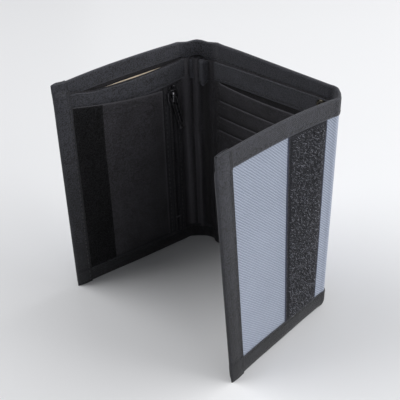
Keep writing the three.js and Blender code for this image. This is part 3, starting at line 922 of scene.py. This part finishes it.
def pocket_face(u, z):
    """Depth of the coin pocket's front, which is slack in the middle and along its top."""
    v = np.clip((u - POCKET_U[0]) / (POCKET_U[1] - POCKET_U[0]), 0, 1)
    mouth = smooth((z - POCKET_TOP + 26) / 24) * np.sin(math.pi * v)
    belly = 0.35 * np.sin(math.pi * z / 112) * np.sin(math.pi * v)
    ripple = 0.16 * np.sin(u / 6.5 + z / 17) * np.sin(z / 9 - u / 21)
    edge_fade = smooth((v - 0.1) / 0.2) * smooth((1 - v) / 0.08)
    lift = edge_fade * (0.8 * mouth + belly + np.abs(ripple) * 0.8) + over_binding(z)
    return 3.32 + lift + 0.18 * smooth((5.6 - hem_line(u) + z) / 0.5)


def rising_grid(us, rows, bottom, top):
    """Grids of u and z, whose rows are shares of the height from the bottom to a function of u."""
    u = np.repeat(us[:, None], len(rows), 1)
    return u, bottom + rows[None, :] * (top(us)[:, None] - bottom)


def coin_pocket():
    start, end = POCKET_U
    rows = np.concatenate([np.linspace(0, 0.9, 40), np.linspace(0.915, 1, 9)])
    u, z = rising_grid(steps(start, end, 1.3), rows, EDGE_INSET, hem_line)
    far = np.stack([u, pocket_face(u, z), z], -1)
    near = far - [0, 0.22, 0]
    piece = Piece("coin_pocket_front", "black_nylon", NYLON, THREAD)
    # Painted highlight along the pocket's hem and along its edge by the zip.
    wear_and_painted_light = np.maximum(0.7 * swell(z, hem_line(u), 0.7), 0.5 * swell(u, end, 0.7))
    piece.shell(near, far, wear_and_painted_light=wear_and_painted_light)
    line = lambda s: hem_line(s) - 4.6
    face = lambda s: pocket_face(s, line(s)) + 0.02
    stitch_row(piece, LOOP_FROM + LOOP_WIDTH + U_LEFT + 1, end - 0.6, line, face, 1)
    made = piece.build(["coin_pocket_front"], "left_panel")


def arch_template(height, reach, lean, radius, sides, end=1.0):
    """A small loop that stands on the cloth, or a hook, where its end is before 1."""
    turn = math.pi * np.linspace(0, end, 7)
    path = [-reach * np.cos(turn), lean * np.sin(turn), height * np.sin(turn) ** 0.8]
    return tube(np.stack(path, 1), radius, sides)


def pile(piece, u_range, z_range, surface, side, templates, pitch, look, slant=level(0)):
    """Templates scattered over a strip on a jittered grid; its top is a function of u."""
    bottom, top = z_range
    us = np.arange(u_range[0] + pitch / 2, u_range[1], pitch)
    zs = np.arange(bottom + pitch / 2, HEIGHT, pitch)
    u, z = (g.ravel() for g in np.meshgrid(us, zs, indexing="ij"))
    u = u + rng.uniform(-0.45, 0.45, len(u)) * pitch
    z = z + rng.uniform(-0.45, 0.45, len(u)) * pitch
    inside = z < top(u)
    u, z = u[inside], z[inside]
    centres = np.stack([u + slant(z), surface(u, z), z], 1)
    turn = rng.uniform(0, 2 * math.pi, len(u))
    kind = rng.integers(0, len(templates), len(u))
    along = np.stack([np.cos(turn), np.zeros(len(u)), np.sin(turn)], 1)
    scale = rng.uniform(0.75, 1.2, len(u))
    for k, template in enumerate(templates):
        pick = kind == k
        piece.strew(template, centres[pick], along[pick], side * DEPTH_AXIS, look, scale[pick])


# Height, reach and lean of each kind.
LOOP_SHAPES = (0.55, 0.35, 0.2), (0.75, 0.3, -0.3), (0.45, 0.5, 0.1), (0.65, 0.42, 0.4)
HOOK_SHAPES = (0.85, 0.34, 0.1), (0.95, 0.3, -0.2), (0.75, 0.4, 0.25), (0.9, 0.36, 0.0)


def loop_strip():
    start, end = U_LEFT + LOOP_FROM, U_LEFT + LOOP_FROM + LOOP_WIDTH
    bottom, top = BOTTOM_INNER - 1, lambda u: hem_line(u) - 0.3
    u, z = rising_grid(steps(start, end, 0.9), np.linspace(0, 1, 64), bottom, top)
    weave = 0.1 * np.sin(u * 2.1) * np.sin(z * 1.7)
    near = np.stack([u, pocket_face(u, z) - 0.05, z], -1)
    far = np.stack([u, pocket_face(u, z) + 0.3 + weave, z], -1)
    piece = Piece("loop_strip", "loop_tape", PILE, PILE)
    piece.shell(near, far)
    loops = [arch_template(*shape, 0.075, 3) for shape in LOOP_SHAPES]
    surface = lambda u, z: pocket_face(u, z) + 0.22
    spread = (start + 0.3, end - 0.3), (bottom + 1.4, lambda u: hem_line(u) - 0.6)
    pile(piece, *spread, surface, 1, loops, 0.62, 1)
    piece.build(["loop_strip"], "left_panel")


def zip_side(side, direction):
    """One tape with its coil, which is sewn on."""
    z0, z1 = ZIP_BOTTOM - 0.4, ZIP_TOP
    us = np.sort(np.linspace(ZIP_U + direction * 0.55, ZIP_U + direction * 4.8, 9))
    tape = Piece(f"zip_tape_{side}", "zip_tape", ZIP_TAPE, THREAD)
    face = lambda depth: lambda u, z: depth + 0.12 * swell(np.abs(u - ZIP_U), 2.6, 0.5)
    tape.shell(*sheet_grids(us, steps(z0, z1, 2), face(3.68), face(3.93)))
    stitch_row(tape, z0 + 1, z1 - 1, ZIP_U + direction * 3.9, 3.93, 1, True)
    tape.build([tape.name], "left_panel")

    pitch, top = 1.15, z1 - 1.9
    turns = int((top - ZIP_BOTTOM) / pitch)
    t = np.linspace(0, turns, turns * 12)
    angle = 2 * math.pi * t
    across, depth = 1.22 + 0.62 * np.cos(angle), 4.52 + 0.26 * np.sin(angle)
    z = ZIP_BOTTOM + pitch * t + (0 if direction > 0 else pitch / 2)
    coil = Piece(f"zip_coil_{side}", "zip_coil", COIL, THREAD)
    coil.add(*tube(np.stack([ZIP_U + direction * across, depth, z], 1), 0.14, 5, up=(0, 0, 1)))
    seam = ZIP_U + direction * 1.45
    stitch_row(coil, ZIP_BOTTOM + 0.5, top - 0.5, seam, 4.86, 1, True, pitch=2.3)
    coil.build([coil.name], "left_panel")


def rounded_block(half_u, half_z, depth0, depth1, bevel, power, count=28):
    """A block with a superellipse outline and bevelled faces, about (0, 0)."""
    turn = 2 * math.pi * np.arange(count) / count
    x, z = (np.sign(w) * np.abs(w) ** (2 / power) for w in (np.cos(turn), np.sin(turn)))
    layers = [(0, -bevel * 2.2), (0, -bevel), (bevel * 0.3, -bevel * 0.3), (bevel, 0)]
    rows = [(depth0 + d, inset) for d, inset in layers]
    rows += [(depth1 - d, inset) for d, inset in layers[::-1]]
    points = [np.stack([x * (half_u + i), np.full(count, d), z * (half_z + i)], 1) for d, i in rows]
    return np.concatenate(points), [f[::-1] for f in ring_faces(len(rows), count)]


def stop_block(name, half_u, z_mid, centre_u, depth0, depth1):
    piece = Piece(name, "zip_metal", GUNMETAL)
    points, faces = rounded_block(half_u, 0.8, depth0, depth1, 0.12, 5)
    piece.add(points + [centre_u, 0, z_mid], faces)
    piece.build([name], "left_panel")


def facing_strip():
    """The strip of cloth between the zip and fold A."""
    piece = Piece("zip_facing_strip", "black_nylon", NYLON)
    us, zs = np.linspace(U_A0 - 4.6, U_A0 - 2.7, 5), np.linspace(EDGE_INSET, POCKET_TOP, 40)
    face = lambda depth: lambda u, z: depth - 0.35 * smooth((u - U_A0 + 4.2) / 1.6)
    piece.shell(*sheet_grids(us, zs, face(3.15), face(3.45)))
    piece.build([piece.name], "left_panel")


def card():
    ends = U_LEFT + CARD_FROM, U_LEFT + CARD_FROM + CARD_WIDTH
    piece = Piece("insert_card", "kraft_card", KRAFT)
    us, zs = np.linspace(*ends, 40), np.linspace(CARD_BOTTOM, CARD_TOP, 30)
    piece.shell(*sheet_grids(us, zs, 1.86, 2.09))
    made = piece.build(["insert_card"], "insert_card")
    # The ends of the card's mouth line, folded as at rest; the card gets a mesh of its own.
    near, far = place(np.array([[u, MOUTH_DEPTH, MOUTH_Z] for u in ends]))
    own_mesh(made)


coin_pocket()
loop_strip()
zip_side("pocket_side", -1)
zip_side("fold_side", 1)
for side, direction in (("pocket_side", -1), ("fold_side", 1)):
    stop_block(f"zip_top_stop_{side}", 0.68, 103.5, ZIP_U + direction * 1.2, 4.1, 5.0)
stop_block("zip_bottom_stop", 1.9, 20.9, ZIP_U, 5.05, 5.5)
facing_strip()
card()


# ---- Zip slider and pull ----

SLIDER_Z = 98.2
PULL_PIVOT_DEPTH = 5.98
PULL_LENGTH, PULL_HALF, PULL_SKEW = 20.5, 1.7, math.radians(13)


def slider():
    piece = Piece("zip_slider", "zip_metal", GUNMETAL)
    centre = np.array([ZIP_U, 0, SLIDER_Z])
    taper = lambda z, share: 1 - share * smooth((-z - 0.5) / 3.5)
    for depth0, depth1 in ((3.1, 3.5), (5.05, 5.6)):
        points, faces = rounded_block(3.0, 4.2, depth0, depth1, 0.13, 3.2, 36)
        points[:, 0] *= taper(points[:, 2], 0.22)
        piece.add(points + centre, faces)
    points, faces = rounded_block(0.25, 4.0, 3.4, 5.15, 0.05, 6)
    piece.add(points + centre, faces)
    for side in (-1, 1):
        z = np.linspace(-3.3, 3.0, 8)
        path = np.stack([side * 2.75 * taper(z, 0.2), np.full(8, 5.1), z], 1)
        points, faces = tube(path, 0.3, 8, up=(1, 0, 0))
        piece.add(points + centre, faces)
    t = np.linspace(0, 1, 15)
    rise = np.sin(math.pi * t) ** 0.45
    path = np.stack([np.zeros(15), 5.45 + 1.1 * rise, -2.7 + 5.4 * t], 1)
    points, faces = tube(path, 0.28, 8, up=(1, 0, 0))
    # The crown is painted paler, as rubbed lacquer and painted highlight.
    piece.add(points * [3, 1, 1] + centre, faces, wear_and_painted_light=0.15)
    piece.build(["zip_slider"], "zip_slider")


def resample(outline, count):
    """Evenly spaced points along a closed outline."""
    closed = np.concatenate([outline, outline[:1]])
    along = np.concatenate([[0], np.cumsum(np.linalg.norm(np.diff(closed, axis=0), axis=1))])
    s = np.linspace(0, along[-1], count, endpoint=False)
    return np.stack([np.interp(s, along, closed[:, k]) for k in range(2)], 1)


def ring_band(outer, inner, half):
    """A closed band between two outlines, with rims painted pale as highlight: points, faces and
    the tone of each point.
    """
    count = len(outer)
    rows = (outer, -half), (outer, half), (inner, half), (inner, -half)
    points = [np.stack([o[:, 0], np.full(count, d), o[:, 1]], 1) for o, d in rows]
    wear_and_painted_light = np.repeat((0.0, 0.6, 0.3, 0.0), count)
    return np.concatenate(points), ring_faces(4, count, closed=True), wear_and_painted_light


def pull():
    """A flat tab with a rounded end, a rim round it, and an eye that the crown runs through."""
    half, end = PULL_HALF, -PULL_LENGTH + PULL_HALF
    turn = np.linspace(0, -math.pi, 14)
    bottom = np.stack([half * np.cos(turn), end + half * np.sin(turn)], 1)
    neck, shoulder = half * 0.82, -0.5
    outline = np.array([(neck, 0.2), (half, shoulder), *bottom, (-half, shoulder), (-neck, 0.2)])
    rim = resample(outline, 64)

    z0, z1 = -4.3, -PULL_LENGTH + 3.6
    flat = half * 0.9
    corners = (flat, z0), (flat, z1), (-flat, z1), (-flat, z0)
    web = np.array([(x, d, z) for d in (-0.14, 0.14) for x, z in corners])
    spine = np.array([[0, 0.1, z] for z in np.linspace(z0 - 0.5, z1 + 0.5, 12)])

    turn = np.linspace(0, 2 * math.pi, 24, endpoint=False)
    circle = np.stack([np.cos(turn), np.sin(turn)], 1)
    hole_centre = [0, end + 0.3]
    parts = (
        ring_band(rim, rim * [0.78, 1], 0.225),
        (web, ring_faces(2, 4), 0.0),
        # The spine is painted paler, as highlight.
        (*tube(spine, 0.16), 0.3),
        ring_band(circle * flat + hole_centre, circle * 0.7 + hole_centre, 0.2),
    )
    cos, sin = math.cos(PULL_SKEW), math.sin(PULL_SKEW)
    skewed = np.array([[cos, 0, -sin], [0, 1, 0], [sin, 0, cos]])
    piece = Piece("zip_pull", "zip_metal", GUNMETAL)
    for points, faces, wear_and_painted_light in parts:
        moved = points @ skewed.T + [ZIP_U, PULL_PIVOT_DEPTH, SLIDER_Z]
        piece.add(moved, faces, wear_and_painted_light=wear_and_painted_light)
    piece.build(["zip_pull"], "zip_pull")


slider()
pull()


# ---- Middle panel ----


SLOT_GAPES = (2.3, 0.8, 0.7, 0.6)
SLOT_LOWER = (*SLOT_TOPS[1:], BOTTOM_INNER)  # where each slot's cloth goes out of sight
SLOT_ROWS = np.concatenate([
    np.linspace(0, 0.88, 26),
    np.linspace(0.9, 0.965, 7),
    np.linspace(0.972, 1, 6),
])


def card_slot(index, start, end):
    top, lower = SLOT_TOPS[index], SLOT_LOWER[index]
    base, sewn = 3.1 + index * 0.3, start + 1.9
    droop = 0.4 if index else 0.9
    slope = lambda s: 1.2 * ((s - start) / (end - start) - 0.4)
    edge = lambda s: top - droop * arc(s, start, end) ** 0.7 + slope(s)
    us = steps(start, end, 1.5)
    u, z = rising_grid(us, SLOT_ROWS, EDGE_INSET, edge)
    below = edge(u) - z
    free = smooth((u - sewn) / 1.2)
    lift = SLOT_GAPES[index] * smooth((14 - below) / 12) * arc(u, sewn, end) ** 0.45
    roll = (0.16 * swell(below, 0.45, 0.4) + 0.06 * smooth((3.4 - below) / 0.4)) * free
    near = np.stack([u, base + lift, z], -1)
    far = np.stack([u, base + 0.2 + lift + roll, z], -1)
    piece = Piece(f"card_slot_{index + 1}", "black_nylon", NYLON, THREAD)
    # Painted highlight along the hem, a painted shadow line just above the next slot's hem, and the
    # cloth a little darker all over.
    shade = 0.7 * bump(z - (lower - top) - edge(u), 0.7, 1.3) * free * (lower > BOTTOM_INNER)
    piece.shell(near, far, wear_and_painted_light=0.9 * swell(below, 0.1, 0.5) * free - shade - 0.12)
    surface = lambda s: np.interp(s, us, far[:, -10, 1])
    stitch_row(piece, start + 1.5, end - 1.5, lambda s: edge(s) - 3.2, surface, 1)
    for seam in (sewn - 0.6, end - 1.0):
        stitch_row(piece, lower + 0.5, top - 0.6, seam, base + 0.24, 1, True, pitch=2.5)
    made = piece.build([piece.name], "middle_panel")


def lathe(section, rings=48):
    """A ring about the depth axis, from the [radius, depth] points of its closed section."""
    turn = 2 * math.pi * np.arange(rings)[:, None] / rings
    radius, depth = np.array(section, float).T
    depth = np.broadcast_to(depth, (rings, len(depth)))
    points = np.stack([radius * np.cos(turn), depth, radius * np.sin(turn)], -1)
    return points.reshape(-1, 3), ring_faces(rings, len(section), closed=True)


# Radius and depth of the rings' sections.
EYELET_LIP = (3.05, 3.5), (3.1, 3.75), (2.95, 4.0), (2.5, 4.2), (2.1, 4.2), (1.7, 4.0), (1.45, 3.7)
EYELET_BARREL = (1.4, 3.2), (1.4, -0.3), (1.5, -0.5), (1.75, -0.5), (1.8, -0.3), (1.8, 3.5)
WASHER = (2.0, 0.1), (2.0, -0.35), (2.15, -0.5), (2.5, -0.48), (2.8, -0.25), (2.9, 0.1)


def eyelet_part(name, section):
    points, faces = lathe(section)
    piece = Piece(name, "eyelet_metal", BRONZE)
    piece.add(points + [EYELET_U, 0, EYELET_Z], faces)
    piece.build([name], "middle_panel")


for index in range(len(SLOT_TOPS)):
    card_slot(index, 3.4, U_B0 - 3.0)
eyelet_part("chain_eyelet", EYELET_LIP + EYELET_BARREL)
eyelet_part("eyelet_washer", WASHER)


# ---- Right panel ----


def hook_strip():
    start, end = U_B1 + HOOK_FROM, U_B1 + HOOK_FROM + HOOK_WIDTH
    z0, z1 = BOTTOM_OUTER - 2, HEIGHT - TOP_BINDING + 2
    selvedge = 1.6
    slant = lambda z: 0.7 - 1.4 * z / HEIGHT

    def near(u, z):
        """Raised between the selvedges, and tucked under the bindings at both ends."""
        raised = smooth((u - start - selvedge) / 0.5) * smooth((end - selvedge - u) / 0.5)
        tuck = smooth((z - z0 - 2.1) / 1.5) * smooth((z1 - 2.1 - z) / 1.5)
        return 0.16 - (0.12 + 0.28 * raised) * tuck

    piece = Piece("hook_strip", "hook_tape", HOOK_BASE, THREAD, HOOKS)
    faces = sheet_grids(steps(start, end, 0.8), steps(z0, z1, 1.5), near, 0.28)
    u = faces[0][..., 0].copy()
    for face in faces:
        face[..., 0] += slant(face[..., 2])
    piece.shell(*faces, wear_and_painted_light=np.maximum(swell(u, start, 0.6), swell(u, end, 0.6)))
    for at in (start + 0.9, end - 0.9):
        stitch_row(piece, z0 + 2.6, z1 - 2.6, lambda s: at + slant(s), 0.03, -1, True)
    spread = (start + selvedge + 0.4, end - selvedge - 0.4), (z0 + 2.8, level(z1 - 2.8))
    hooks = [arch_template(*shape, 0.1, 4, 0.78) for shape in HOOK_SHAPES]
    pile(piece, *spread, level(-0.2), -1, hooks, 1.05, 2, slant)
    piece.build(["hook_strip"], "right_panel")


def window_pocket():
    """A cloth frame, sewn down round its window, with a film behind it."""
    start, end, top, margin = U_B1 + 3.0, U_RIGHT - EDGE_INSET, 95.0, 12.0
    u0, u1, z0, z1 = start + margin, end - margin, EDGE_INSET + margin + 2, top - margin
    film = Piece("window_film", "clear_film", FILM)
    us, zs = np.linspace(u0 - 3, u1 + 3, 24), np.linspace(z0 - 3, z1 + 3, 24)
    film.shell(*sheet_grids(us, zs, 3.11, 3.24))
    film.build(["window_film"], "right_panel")

    cloth = Piece("window_pocket_frame", "black_nylon", NYLON, THREAD)
    spans = lambda pitch, *ends: [steps(a, b, pitch) for a, b in zip(ends, ends[1:])]
    us = np.unique(np.concatenate(spans(1.6, start, u0, u1, end)))
    zs = np.unique(np.concatenate(spans(1.8, EDGE_INSET, z0, z1, top)))
    window = lambda u, z: (u > u0) & (u < u1) & (z > z0) & (z < z1)
    cloth.shell(*sheet_grids(us, zs, 3.4, 3.65), hole=window)
    inset, depth = 1.4, 3.66
    for z in (z0 - inset, z1 + inset):
        stitch_row(cloth, u0 - inset, u1 + inset, z, depth, 1)
    stitch_row(cloth, start + 1.5, end - SIDE_BINDING, top - 1.8, depth, 1)
    for at in (u0 - inset, u1 + inset):
        stitch_row(cloth, z0 - inset, z1 + inset, at, depth, 1, True)
    stitch_row(cloth, BOTTOM_INNER + 0.5, top - 1, start + 1.0, depth, 1, True)
    cloth.build(["window_pocket_frame"], "right_panel")


hook_strip()
window_pocket()


# ---- Floor, light and camera ----


def floor():
    half = 4.0
    corners = [(-half, -half, 0), (half, -half, 0), (half, half, 0), (-half, half, 0)]
    mesh = bpy.data.meshes.new("floor")
    mesh.from_pydata(corners, [], [(0, 1, 2, 3)])
    material = bpy.data.materials.new("pale_floor")
    material.use_nodes = True
    shader = material.node_tree.nodes["Principled BSDF"]
    shader.inputs["Base Color"].default_value = (0.84, 0.845, 0.86, 1)
    shader.inputs["Roughness"].default_value = 0.22
    shader.inputs["Specular IOR Level"].default_value = 0.5
    mesh.materials.append(material)
    made = bpy.data.objects.new("floor", mesh)
    bpy.context.scene.collection.objects.link(made)


def area_light(name, location, aim, size, power):
    light = bpy.data.lights.new(name, "AREA")
    light.shape, light.size, light.size_y = "RECTANGLE", *size
    light.energy = power
    made = bpy.data.objects.new(name, light)
    made.location = location
    made.rotation_mode = "QUATERNION"
    made.rotation_quaternion = (Vector(aim) - Vector(location)).to_track_quat("-Z", "Y")
    bpy.context.scene.collection.objects.link(made)


def camera():
    """The photo's camera, fitted to the corners of the panels."""
    azimuth, elevation, roll = (math.radians(v) for v in (44.75, 36.13, -2.19))
    back = Vector((
        math.sin(azimuth) * math.cos(elevation),
        -math.cos(azimuth) * math.cos(elevation),
        math.sin(elevation),
    ))
    level_right = Vector((math.cos(azimuth), math.sin(azimuth), 0))
    level_up = back.cross(level_right)
    right = level_right * math.cos(roll) + level_up * math.sin(roll)
    up = level_up * math.cos(roll) - level_right * math.sin(roll)
    turned = Matrix((right, up, back)).transposed().to_4x4()
    data = bpy.data.cameras.new("camera")
    data.sensor_width = 36
    data.lens = 72.287
    made = bpy.data.objects.new("camera", data)
    made.matrix_world = Matrix.Translation((0.21889, -0.27152, 0.29955)) @ turned
    bpy.context.scene.collection.objects.link(made)
    bpy.context.scene.camera = made


def world():
    made = bpy.data.worlds.new("studio")
    made.use_nodes = True
    background = made.node_tree.nodes["Background"]
    background.inputs["Color"].default_value = (0.95, 0.965, 1.0, 1)
    background.inputs["Strength"].default_value = 0.14
    bpy.context.scene.world = made


floor()
area_light("window_light", (0.7, 0.9, 0.8), (0, 0, 0.03), (1.6, 1.0), 19.4)
area_light("side_light", (1.4, 0.1, 0.7), (0, 0, 0.05), (1.4, 1.2), 5.9)
area_light("high_light", (-0.9, -0.7, 1.3), (0, -0.05, 0), (1.2, 1.2), 18.5)
area_light("back_light", (-0.6, 1.1, 0.7), (0, 0, 0.03), (1.4, 0.8), 1.3)
camera()
world()
bpy.context.scene.view_settings.view_transform = "Standard"
